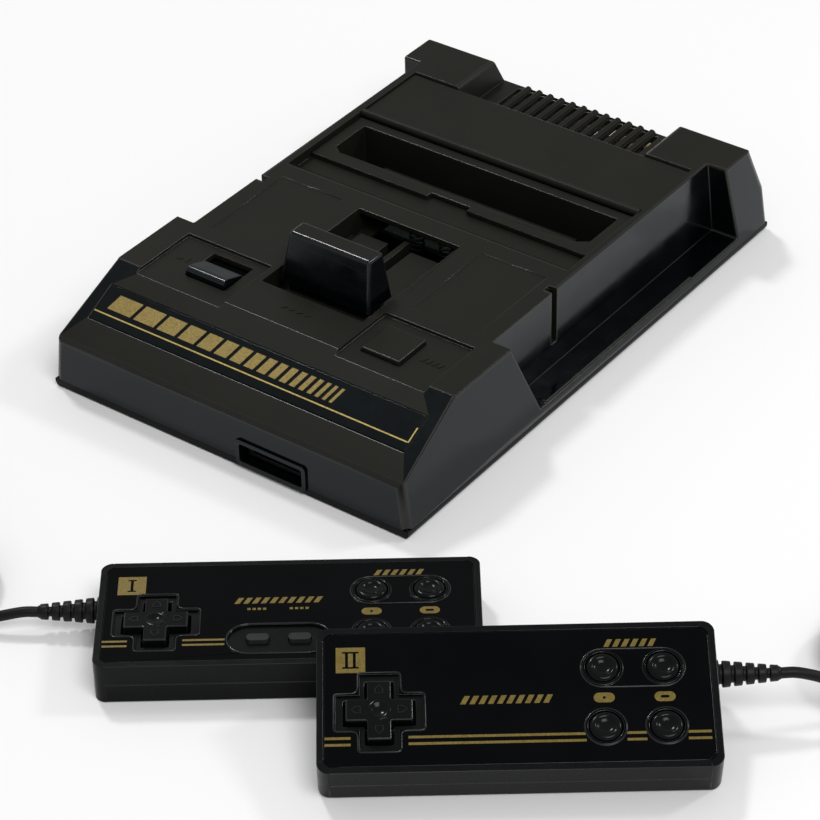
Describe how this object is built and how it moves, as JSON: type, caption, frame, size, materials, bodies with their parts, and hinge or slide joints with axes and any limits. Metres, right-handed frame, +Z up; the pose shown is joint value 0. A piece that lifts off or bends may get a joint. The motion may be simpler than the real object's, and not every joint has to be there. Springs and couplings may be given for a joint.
{
  "type": "game console with controllers",
  "caption": "Cartridge game console with a flap over its slot, an eject lever, sliding and push switches, side cradles, and wired game pads.",
  "frame": {"origin": "centre of the console's footprint, on the table", "axes": "+X to the right seen from the front, +Y from the front to the back of the console, +Z up"},
  "size_m": [0.3571, 0.3542, 0.0526],
  "materials": {
    "deck_plastic": "fine textured olive black",
    "gloss_plastic": "polished black",
    "base_plastic": "satin black",
    "board": "green solder mask",
    "connector_plastic": "moulded black",
    "tin_plate": "tin plate",
    "aluminium": "extruded",
    "jack_metal": "brass sleeves",
    "steel": "zinc plated",
    "pad_plastic": "satin black",
    "faceplate": "black inlay with gold stripes",
    "button_plastic": "polished black",
    "grey_rubber": "moulded grey",
    "key_rubber": "moulded grey",
    "cord_plastic": "soft black vinyl"
  },
  "bodies": {
    "console": {"lower_shell": "base_plastic", "upper_shell": "deck_plastic", "jack_panel": "deck_plastic", "slot_frame": "deck_plastic", "name_plate": "gloss_plastic", "port_bezel": "gloss_plastic", "main_board": "board", "cartridge_connector": "connector_plastic", "board_chips": "connector_plastic", "rf_modulator": "tin_plate", "heatsink": "aluminium", "expansion_connector": "connector_plastic", "pad_sockets": "tin_plate", "rear_jacks": "jack_metal", "panel_switches": "connector_plastic", "case_screws": "steel", "board_screws": "steel", "eject_springs": "steel", "hinge_pin": "steel"},
    "flap": {"cartridge_flap": "deck_plastic"},
    "ejector": {"eject_lever": "gloss_plastic", "eject_slider": "deck_plastic"},
    "fork": {"ejector_fork": "base_plastic"},
    "power_switch": {"power_knob": "gloss_plastic"},
    "reset_switch": {"reset_button": "deck_plastic"},
    "channel_switch": {"channel_knob": "base_plastic"},
    "pad1": {"pad1_top_shell": "pad_plastic", "pad1_bottom_shell": "pad_plastic", "pad1_faceplate": "faceplate", "pad1_board": "board", "pad1_mats": "grey_rubber", "pad1_screws": "steel", "pad1_strain_relief": "cord_plastic", "pad1_cord": "cord_plastic", "pad1_cord_coil": "cord_plastic", "pad1_plug": "cord_plastic"},
    "pad1_pivot": {"pad1_dpad_pivot": "grey_rubber"},
    "pad1_cross": {"pad1_dpad": "button_plastic"},
    "pad1_button_a": {"pad1_button_a": "button_plastic"},
    "pad1_button_b": {"pad1_button_b": "button_plastic"},
    "pad1_turbo_a": {"pad1_turbo_a": "button_plastic"},
    "pad1_turbo_b": {"pad1_turbo_b": "button_plastic"},
    "pad2": {"pad2_top_shell": "pad_plastic", "pad2_bottom_shell": "pad_plastic", "pad2_faceplate": "faceplate", "pad2_board": "board", "pad2_mats": "grey_rubber", "pad2_screws": "steel", "pad2_strain_relief": "cord_plastic", "pad2_cord": "cord_plastic", "pad2_cord_coil": "cord_plastic", "pad2_plug": "cord_plastic"},
    "pad2_pivot": {"pad2_dpad_pivot": "grey_rubber"},
    "pad2_cross": {"pad2_dpad": "button_plastic"},
    "pad2_button_a": {"pad2_button_a": "button_plastic"},
    "pad2_button_b": {"pad2_button_b": "button_plastic"},
    "pad2_turbo_a": {"pad2_turbo_a": "button_plastic"},
    "pad2_turbo_b": {"pad2_turbo_b": "button_plastic"},
    "pad1_select": {"pad1_select": "key_rubber"},
    "pad1_start": {"pad1_start": "key_rubber"}
  },
  "joints": [
    {"name": "flap_hinge", "type": "hinge", "parent": "console", "child": "flap", "pos_m": [0, 0.0469, 0.0352], "axis": [1, 0, 0], "range_deg": [0, 180]},
    {"name": "eject_slide", "type": "slide", "parent": "console", "child": "ejector", "axis": [0, 1, 0], "range_m": [0, 0.014], "stiffness_N_per_m": 150, "springref_m": -0.005},
    {"name": "fork_lift", "type": "slide", "parent": "console", "child": "fork", "axis": [0, 0, 1], "range_m": [0, 0.0071], "deforming": ["eject_springs"]},
    {"name": "power_slide", "type": "slide", "parent": "console", "child": "power_switch", "axis": [0, 1, 0], "range_m": [0, 0.005]},
    {"name": "reset_press", "type": "slide", "parent": "console", "child": "reset_switch", "axis": [0, 0, -1], "range_m": [0, 0.002], "stiffness_N_per_m": 150, "springref_m": -0.004},
    {"name": "channel_slide", "type": "slide", "parent": "console", "child": "channel_switch", "axis": [1, 0, 0], "range_m": [0, 0.005]},
    {"name": "pad1_lift", "type": "slide", "parent": "console", "child": "pad1", "axis": [0, 0, 1], "range_m": [0, 0.12]},
    {"name": "pad2_lift", "type": "slide", "parent": "pad1", "child": "pad2", "axis": [0, 0, 1], "range_m": [0, 0.12]},
    {"name": "pad1_dpad_rock_y", "type": "hinge", "parent": "pad1", "child": "pad1_pivot", "pos_m": [0.04607, -0.20206, 0.0079], "axis": [0.8007, 0.599, 0], "range_deg": [-5, 5], "stiffness_Nm_per_rad": 0.02},
    {"name": "pad1_dpad_rock_x", "type": "hinge", "parent": "pad1_pivot", "child": "pad1_cross", "pos_m": [0.04607, -0.20206, 0.0079], "axis": [-0.599, 0.8007, 0], "range_deg": [-5, 5], "stiffness_Nm_per_rad": 0.02},
    {"name": "pad1_button_a_press", "type": "slide", "parent": "pad1", "child": "pad1_button_a", "axis": [0, 0, -1], "range_m": [0, 0.0016], "stiffness_N_per_m": 100, "springref_m": -0.004},
    {"name": "pad1_button_b_press", "type": "slide", "parent": "pad1", "child": "pad1_button_b", "axis": [0, 0, -1], "range_m": [0, 0.0016], "stiffness_N_per_m": 100, "springref_m": -0.004},
    {"name": "pad1_turbo_a_press", "type": "slide", "parent": "pad1", "child": "pad1_turbo_a", "axis": [0, 0, -1], "range_m": [0, 0.0016], "stiffness_N_per_m": 100, "springref_m": -0.004},
    {"name": "pad1_turbo_b_press", "type": "slide", "parent": "pad1", "child": "pad1_turbo_b", "axis": [0, 0, -1], "range_m": [0, 0.0016], "stiffness_N_per_m": 100, "springref_m": -0.004},
    {"name": "pad2_dpad_rock_y", "type": "hinge", "parent": "pad2", "child": "pad2_pivot", "pos_m": [0.12894, -0.19932, 0.01379], "axis": [0.8007, 0.599, 0], "range_deg": [-5, 5], "stiffness_Nm_per_rad": 0.02},
    {"name": "pad2_dpad_rock_x", "type": "hinge", "parent": "pad2_pivot", "child": "pad2_cross", "pos_m": [0.12894, -0.19932, 0.01379], "axis": [-0.5697, 0.7615, 0.309], "range_deg": [-5, 5], "stiffness_Nm_per_rad": 0.02},
    {"name": "pad2_button_a_press", "type": "slide", "parent": "pad2", "child": "pad2_button_a", "axis": [-0.1851, 0.2474, -0.9511], "range_m": [0, 0.0016], "stiffness_N_per_m": 100, "springref_m": -0.004},
    {"name": "pad2_button_b_press", "type": "slide", "parent": "pad2", "child": "pad2_button_b", "axis": [-0.1851, 0.2474, -0.9511], "range_m": [0, 0.0016], "stiffness_N_per_m": 100, "springref_m": -0.004},
    {"name": "pad2_turbo_a_press", "type": "slide", "parent": "pad2", "child": "pad2_turbo_a", "axis": [-0.1851, 0.2474, -0.9511], "range_m": [0, 0.0016], "stiffness_N_per_m": 100, "springref_m": -0.004},
    {"name": "pad2_turbo_b_press", "type": "slide", "parent": "pad2", "child": "pad2_turbo_b", "axis": [-0.1851, 0.2474, -0.9511], "range_m": [0, 0.0016], "stiffness_N_per_m": 100, "springref_m": -0.004},
    {"name": "pad1_select_press", "type": "slide", "parent": "pad1", "child": "pad1_select", "axis": [0, 0, -1], "range_m": [0, 0.0012], "stiffness_N_per_m": 60, "springref_m": -0.004},
    {"name": "pad1_start_press", "type": "slide", "parent": "pad1", "child": "pad1_start", "axis": [0, 0, -1], "range_m": [0, 0.0012], "stiffness_N_per_m": 60, "springref_m": -0.004}
  ],
  "couplings": [
    {"joint": "fork_lift", "follows": "eject_slide", "ratio": 0.5}
  ]
}
